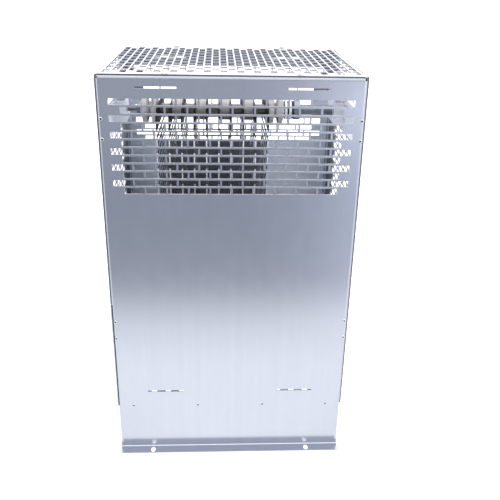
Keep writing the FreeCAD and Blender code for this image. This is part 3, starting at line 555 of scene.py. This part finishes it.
# The right side panel, a plain plate with the same rows of vents
side_vents = vents_of(row_lanes())
shape = bmesh.new()
add_lattice(
    shape,
    breaks((side_low.z, side_high.z), *(vent[:2] for vent in side_vents)),
    breaks((-sheet_half, sheet_half), *(vent[2:] for vent in side_vents)),
    pierced(side_vents),
    lambda up, deep, face: (HALF_WIDTH - SKIN * face, deep, up), SHEET_MARKS)
right_sheet = piece("right_side_sheet", shape, "housing_sheet", ["right_side_panel"])
# The inner faces take painted light and shade, the rims the sheared edge, the vent walls painted shade in the
# hood's top, and the lit vent walls the bracket finish as a painted highlight
for sheet in (hood_sheet, right_sheet):
    for finish in (wall_finish, cut_edge, vent_edge, bracket_finish):
        sheet.data.materials.append(finish)

# The rear walls of the vents along the hood's front edge catch the light, as a painted highlight
LIT_FROM = 20 * MM - HALF_DEPTH
LIT_TO = -80 * MM
for side in hood_sheet.data.polygons:
    lit = side.normal.y < -0.9 and LIT_FROM < side.center.y < LIT_TO
    if side.material_index == VENT_WALL and lit:
        side.material_index = LIT_VENT_WALL

# Bridges across the long slots of the bottom grille
BRIDGE_SETBACK = 0.05 * MM
shape = bmesh.new()
bottom_lanes = column_lanes(last_column - 2 * ROW_PITCH * BOTTOM_COLUMN_PAIRS, BOTTOM_COLUMN_PAIRS)
for middle, start, count in bottom_lanes:
    for step in range(1, count):
        end = start + step * VENT_PITCH
        add_box(shape, (middle - VENT_WIDTH / 2, end - VENT_BAR, TRAY_TOP - SKIN + BRIDGE_SETBACK),
                (middle + VENT_WIDTH / 2, end, TRAY_TOP - BRIDGE_SETBACK))
# The bridges take the inner finish, with its painted light
piece("bottom_vent_bridges", shape, "housing_sheet").data.materials[0] = inside_finish

# Ceramics, washers and sleeves, turned round the rods
BORE_RADIUS = 6.2 * MM
SPACER_RADIUS = 13 * MM
INSULATOR_LENGTH = 11.4 * MM
INSULATOR_JOINT = 0.4 * MM
HUB_RADIUS = 9 * MM
RIM_RADIUS = 17 * MM
RIM_WIDTH = 6.6 * MM
CERAMIC_EASE = 0.8 * MM
WASHER_RADIUS = 12 * MM
GROOVE_RADIUS = 11 * MM
WASHER_STEPS = (0.1, 3.1, 5.5, 8.5, 11.7, 19.3)
SLEEVE_RADIUS = 6 * MM
SLEEVE_BORE = 3.2 * MM
STEEL_EASE = 0.4 * MM
NUT_LENGTH = 5 * MM
NEAR = 0.1 * MM
ROUND_STEPS = 48
SHARP_ANGLE = 35
NUT_LIKE, BRIGHT, GROOVE = 1, 2, 3  # the washers' materials after the slot's, the grooves in painted shade


def circle(steps):
    """The angles of one full turn, in equal steps."""
    return [2 * math.pi * step / steps for step in range(steps)]


def join_rings(shape, rings):
    """The faces between rings of corners that follow each other."""
    return [shape.faces.new((ring[step - 1], ring[step], following[step], following[step - 1]))
            for ring, following in zip(rings, rings[1:]) for step in range(len(ring))]


def add_turned(shape, level, profile):
    """A closed ring round the line y = 0 at one height, from (place along X, radius) corners."""
    rings = [[shape.verts.new((place, radius * math.sin(angle), level + radius * math.cos(angle)))
              for angle in circle(ROUND_STEPS)] for place, radius in profile]
    for side in join_rings(shape, rings + rings[:1]):
        side.smooth = True


def turned_piece(name, level, profiles, slot, replaced=()):
    """A piece turned from some profiles, shaded smooth between its sharp edges."""
    shape = bmesh.new()
    for profile in profiles:
        add_turned(shape, level, profile)
    item = piece(name, shape, slot, replaced)
    item.data.set_sharp_from_angle(angle=math.radians(SHARP_ANGLE))
    return item


def collar(start, end):
    """Profile of a spacer: a plain collar with eased ends."""
    return [(start, BORE_RADIUS), (start, SPACER_RADIUS - CERAMIC_EASE), (start + CERAMIC_EASE, SPACER_RADIUS),
            (end - CERAMIC_EASE, SPACER_RADIUS), (end, SPACER_RADIUS - CERAMIC_EASE), (end, BORE_RADIUS)]


def double_cone(start):
    """Profile of an end insulator: two short cones that swell to a broad rim."""
    end = start + INSULATOR_LENGTH
    rim_start = (start + end) / 2 - RIM_WIDTH / 2
    rim_end = (start + end) / 2 + RIM_WIDTH / 2
    hub_swell = HUB_RADIUS + CERAMIC_EASE / 4
    return [(start, BORE_RADIUS), (start, HUB_RADIUS), (start + CERAMIC_EASE, hub_swell),
            (rim_start, RIM_RADIUS - CERAMIC_EASE), (rim_start + CERAMIC_EASE, RIM_RADIUS),
            (rim_end - CERAMIC_EASE, RIM_RADIUS), (rim_end, RIM_RADIUS - CERAMIC_EASE),
            (end - CERAMIC_EASE, hub_swell), (end, HUB_RADIUS), (end, BORE_RADIUS)]


def washer_stack(start):
    """Profile of the washers that press on the bank: three discs with narrower rings between them."""
    places = [start + step * MM for step in WASHER_STEPS]
    profile = []
    for left, right in zip(places[::2], places[1::2]):
        profile += [(left, GROOVE_RADIUS), (left, WASHER_RADIUS - STEEL_EASE),
                    (left + STEEL_EASE, WASHER_RADIUS), (right - STEEL_EASE, WASHER_RADIUS),
                    (right, WASHER_RADIUS - STEEL_EASE), (right, GROOVE_RADIUS)]
    return [(places[0], BORE_RADIUS), *profile[1:-1], (places[-1], BORE_RADIUS)]


def sleeve(start, end):
    """Profile of the steel sleeve that holds the bank off the bracket."""
    return [(start, SLEEVE_BORE), (start, SLEEVE_RADIUS - STEEL_EASE), (start + STEEL_EASE, SLEEVE_RADIUS),
            (end - STEEL_EASE, SLEEVE_RADIUS), (end, SLEEVE_RADIUS - STEEL_EASE), (end, SLEEVE_BORE)]


def rod_level(word):
    """The height of the upper or the lower rod."""
    low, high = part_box(word + "_tie_rod")
    return (low.z + high.z) / 2


grid_names = sorted(name for name in nodes if name.startswith("resistor_grid_"))
grid_boxes = [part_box(name) for name in grid_names]
gaps = [(before[1].x, after[0].x) for before, after in zip(grid_boxes, grid_boxes[1:])]
bank_start = grid_boxes[0][0].x
bank_end = grid_boxes[-1][1].x
insulator_step = INSULATOR_LENGTH + INSULATOR_JOINT
washers_start = bank_end + insulator_step + INSULATOR_LENGTH
last_washer = washers_start + WASHER_STEPS[-2] * MM
washers_end = washers_start + WASHER_STEPS[-1] * MM
cones = [double_cone(start) for start in (bank_start - insulator_step - INSULATOR_LENGTH,
                                          bank_start - INSULATOR_LENGTH, bank_end, bank_end + insulator_step)]
for word, first_gap in (("upper", 1), ("lower", 0)):
    level = rod_level(word)
    collars = [collar(start, end) for start, end in gaps[first_gap::2]]
    turned_piece(word + "_spacer_collars", level, collars, "ceramic", [word + "_ceramic_spacers"])
    turned_piece(word + "_insulator_cones", level, cones, "ceramic", [word + "_end_insulators"])
    washers = turned_piece(word + "_end_washers", level, [washer_stack(washers_start)], "fastener_steel")
    for finish in (nut_finish, bracket_finish, recess_shade):
        washers.data.materials.append(finish)
    # Faces within the grooves' radius take painted shade
    for side in washers.data.polygons:
        if math.hypot(side.center.y, side.center.z - level) < GROOVE_RADIUS + NEAR:
            side.material_index = GROOVE
        else:
            side.material_index = NUT_LIKE if side.center.x > last_washer - NEAR else BRIGHT
    sleeve_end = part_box(word + "_rod_nuts")[1].x - NUT_LENGTH
    spacer = turned_piece(word + "_spacer_sleeve", level, [sleeve(washers_end, sleeve_end)], "fastener_steel")
    spacer.data.materials[0] = rod_finish

# Grids: two pierced end plates, with a thin strip that runs to and fro between them
STRIP_PITCH = 9.5 * MM
STRIP_HEIGHT = 4.2 * MM
STRIP_SKIN = 0.6 * MM
END_PLATE = 24 * MM
LOOP_DEPTH = 3 * MM
CORNER_CUT = 10 * MM
BOX_FACES = 6
PAINTED_HIGHLIGHT = 1  # the loops' painted highlight, after the slot's


def meander():
    """One grid at the place of the first: its two end plates, and the strip between them."""
    shape = bmesh.new()
    low, high = grid_boxes[0]
    middle = (low.x + high.x) / 2
    first_strip, last_strip = low.z + END_PLATE, high.z - END_PLATE
    for word, outer, inner in (("lower", low.z, first_strip), ("upper", high.z, last_strip)):
        level = rod_level(word)
        cut = outer + (CORNER_CUT / 2 if inner > outer else -CORNER_CUT / 2)

        def filled(deep, height):
            if abs(deep) < BORE_RADIUS and abs(height - level) < BORE_RADIUS:
                return False
            return abs(deep) < high.y - CORNER_CUT or abs(height - inner) < abs(cut - inner)

        across = [low.y, low.y + CORNER_CUT, -BORE_RADIUS, BORE_RADIUS, high.y - CORNER_CUT, high.y]
        up = sorted({outer, cut, level - BORE_RADIUS, level + BORE_RADIUS, inner})
        add_lattice(shape, across, up, filled, lambda deep, height, face: ((low.x, high.x)[face], deep, height))
    runs = int((last_strip - first_strip) / STRIP_PITCH)
    pitch = (last_strip - first_strip) / runs
    for step in range(1, runs):
        height = first_strip + step * pitch
        add_box(shape, (middle - STRIP_SKIN / 2, low.y + LOOP_DEPTH / 2, height - STRIP_HEIGHT / 2),
                (middle + STRIP_SKIN / 2, high.y - LOOP_DEPTH / 2, height + STRIP_HEIGHT / 2))
    for step in range(runs):
        bottom = first_strip + step * pitch - STRIP_HEIGHT / 2
        top = bottom + pitch + STRIP_HEIGHT
        loop = low.y if step % 2 else high.y - LOOP_DEPTH
        add_box(shape, (low.x, loop, bottom), (high.x, loop + LOOP_DEPTH, top))
        shape.faces.ensure_lookup_table()
        # The loops' front and rear faces take the painted highlight
        for side in shape.faces[-BOX_FACES:]:
            side.material_index = PAINTED_HIGHLIGHT if abs(side.normal.y) > 0.7 else 0
    return shape


for name, (low, high) in zip(grid_names, grid_boxes):
    shape = meander()
    bmesh.ops.translate(shape, verts=shape.verts, vec=(low.x - bank_start, 0, 0))
    piece(name.replace("resistor", "strip"), shape, "grid_steel", [name]).data.materials.append(loop_highlight)

# Rivets in the front and rear panels
RIVET_STEPS = 20
RECESS_RADIUS = 1.15 * MM
RECESS_FLOOR = 0.2 * MM
RIVET_SUNK = 0.2 * MM
DOME_HEIGHT = 0.9 * MM
SHOULDER_SHARE = 0.85
RIM_SHARE = 0.3
RECESS_SHADE = 1  # the recess's painted shade, after the slot's
CARRIER_RIVET_RADIUS = 2 * MM
CARRIER_RIVET_ASIDE = 141.7 * MM
CARRIER_RIVET_LEVELS = (442.5 * MM, 420 * MM, 192 * MM, 168.5 * MM)
TRAY_RIVET_RADIUS = 1.8 * MM
TRAY_RIVETS_ACROSS = (-125.3 * MM, -42 * MM, 42 * MM, 125.3 * MM)
TRAY_RIVET_LEVEL = 67.5 * MM


def add_rivet(shape, across, level, face, side, radius):
    """A low domed rivet head with painted shade in the recess in its middle."""
    profile = [(RECESS_RADIUS, RECESS_FLOOR), (RECESS_RADIUS, DOME_HEIGHT),
               (radius * SHOULDER_SHARE, DOME_HEIGHT * SHOULDER_SHARE),
               (radius, DOME_HEIGHT * RIM_SHARE), (radius, -RIVET_SUNK)]
    rings = []
    for reach, out in profile:
        rings.append([
            shape.verts.new((across + reach * math.cos(angle), face + side * out, level + reach * math.sin(angle)))
            for angle in circle(RIVET_STEPS)])
    join_rings(shape, rings)
    shape.faces.new(rings[0]).material_index = RECESS_SHADE
    shape.faces.new(rings[-1])


def panel_rivets(name, face, side):
    """Rivets of the carriers down both edges and of the tray along the bottom of one panel."""
    shape = bmesh.new()
    for across in (-CARRIER_RIVET_ASIDE, CARRIER_RIVET_ASIDE):
        for level in CARRIER_RIVET_LEVELS:
            add_rivet(shape, across, level, face, side, CARRIER_RIVET_RADIUS)
    for across in TRAY_RIVETS_ACROSS:
        add_rivet(shape, across, TRAY_RIVET_LEVEL, face, side, TRAY_RIVET_RADIUS)
    item = piece(name, shape, "fastener_steel")
    item.data.materials.append(recess_shade)


panel_rivets("front_rivets", FRONT_FACE, -1)
panel_rivets("rear_rivets", -FRONT_FACE, 1)

# Camera, at the photograph's angle
CAMERA_PLACE = Vector((-16.12 * MM, -836.27 * MM, 603.1 * MM))
CAMERA_RIGHT = Vector((0.998816589, -0.044696722, 0.019173545))
CAMERA_UP = Vector((0.000449313, 0.402691888, 0.91533548))
CAMERA_AHEAD = Vector((0.0486335265, 0.914243647, -0.402235421))
FOCAL_LENGTH = 662.701 / 500  # of the picture's width
SENSOR_WIDTH = 36
camera_data = bpy.data.cameras.new("camera")
camera_data.sensor_width = SENSOR_WIDTH
camera_data.lens = FOCAL_LENGTH * SENSOR_WIDTH
camera = bpy.data.objects.new("camera", camera_data)
bpy.context.scene.collection.objects.link(camera)
turn = Matrix((CAMERA_RIGHT, CAMERA_UP, -CAMERA_AHEAD)).transposed().to_4x4()
camera.matrix_world = Matrix.Translation(CAMERA_PLACE) @ turn
bpy.context.scene.camera = camera

# The studio: a plain pale floor, a room that only polished metal shows, and soft light
STUDIO_LIGHT = 2.0
FLOOR_HALF = 15
ROOM_HALF = 6
ROOM_LEVEL = -1 * MM
ROOM_REACH = 3.0
WALL_HALF_HEIGHT = 0.65
WALL_DISTANCE = 3.4

# The reflected window: how far the eye is from the housing, and the slopes between which the window brightens
EYE_DISTANCE = 0.715
WINDOW_START = 0.03
WINDOW_WIDTH = 0.25


def studio_plane(name, half_width, half_depth, height=0):
    """A level rectangle round the middle that is part of the studio, not of the object."""
    shape = bmesh.new()
    shape.faces.new([shape.verts.new((across * half_width, deep * half_depth, height))
                     for across, deep in ((-1, -1), (1, -1), (1, 1), (-1, 1))])
    mesh = bpy.data.meshes.new(name)
    shape.to_mesh(mesh)
    shape.free()
    item = bpy.data.objects.new(name, mesh)
    bpy.context.scene.collection.objects.link(item)
    return item


def hide_from_camera(item):
    """Leave a part of the studio to be seen in polished metal alone."""
    for ray in ("camera", "diffuse", "shadow", "transmission", "volume_scatter"):
        setattr(item, "visible_" + ray, False)


def shining(item, name, colour_of, strength):
    """Let a part of the studio shine softly, in a colour worked out from its place."""
    finish = Finish(name, (0.9, 0.9, 0.9))
    light = finish.add("ShaderNodeEmission", {}, {"Color": colour_of(finish), "Strength": strength})
    finish.feed(finish.output.inputs["Surface"], light)
    item.data.materials.append(finish.material)


floor = studio_plane("floor", FLOOR_HALF, FLOOR_HALF)
floor.visible_glossy = False
shining(floor, "lit_floor", lambda finish: finish.mix(
    finish.noise(finish.place, 3), (0.97, 0.98, 0.99), (0.98, 0.99, 1.0)), STUDIO_LIGHT)

world = bpy.data.worlds.new("studio")
world.use_nodes = True
bpy.context.scene.world = world
background = world.node_tree.nodes["Background"]
background.inputs["Color"].default_value = (0.98, 0.99, 1.0, 1)
background.inputs["Strength"].default_value = 1.2 * STUDIO_LIGHT
bpy.context.scene.view_settings.view_transform = "Standard"


def table_reflection(finish):
    """The bright table near the housing, the dim room beyond it, and a window to one side."""
    across, deep, _ = finish.axes()
    beside = across.absolute() - HALF_WIDTH
    before = deep.absolute() - HALF_DEPTH
    distance = beside.at_least(before)
    ground = finish.ramp(distance / ROOM_REACH, [
        (0.07, (0.98, 0.99, 1.0)), (0.1, (0.86, 0.87, 0.89)), (0.12, (0.78, 0.79, 0.81)),
        (0.145, (0.50, 0.51, 0.54)), (0.166, (0.343, 0.362, 0.40)), (0.33, (0.295, 0.319, 0.362)),
        (1.0, (0.44, 0.45, 0.49)),
    ])
    aside = (across / (distance + EYE_DISTANCE) - WINDOW_START).at_least(0)
    past_table = finish.fade(distance, 0.25, 0.6)
    far_rise = finish.fade(distance, 1.2, 2.5, 18, 44)
    window = 1 + aside.at_most(WINDOW_WIDTH).power(2) * past_table * far_rise
    flanks = finish.fade(across.absolute() - before * 1.2, 0, 0.3)
    past_corner = finish.fade(before, -0.05, 0.05)
    lit = finish.add("ShaderNodeVectorMath", {"operation": "SCALE"}, {0: ground, "Scale": window})
    return finish.mix(flanks * past_corner, lit, (0.84, 0.85, 0.87))


# Seen by polished metal alone, a little under the floor that the camera sees
room = studio_plane("reflected_room", ROOM_HALF, ROOM_HALF, ROOM_LEVEL)
hide_from_camera(room)
shining(room, "reflected_room", table_reflection, 1.06 * STUDIO_LIGHT)

far_wall = studio_plane("reflected_wall", ROOM_HALF, WALL_HALF_HEIGHT)
upright = Matrix.Rotation(math.pi / 2, 4, "X")
far_wall.matrix_world = Matrix.Translation((0, -WALL_DISTANCE, WALL_HALF_HEIGHT)) @ upright
hide_from_camera(far_wall)
shining(far_wall, "reflected_wall", lambda finish: finish.mix(
    finish.noise(finish.place, 2), (0.30, 0.32, 0.36), (0.36, 0.38, 0.42)), STUDIO_LIGHT)

# One large soft lamp above, aimed at the object
LAMP_PLACE = Vector((0, 0.1, 2.2))
LAMP_TARGET = Vector((0, 0, 0.2))
LAMP_SIZE = 2.4
LAMP_POWER = 20
lamp_data = bpy.data.lights.new("top_softbox", "AREA")
lamp_data.size = LAMP_SIZE
lamp_data.energy = LAMP_POWER
lamp = bpy.data.objects.new("top_softbox", lamp_data)
bpy.context.scene.collection.objects.link(lamp)
aim = (LAMP_TARGET - LAMP_PLACE).to_track_quat("-Z", "Y").to_matrix().to_4x4()
lamp.matrix_world = Matrix.Translation(LAMP_PLACE) @ aim
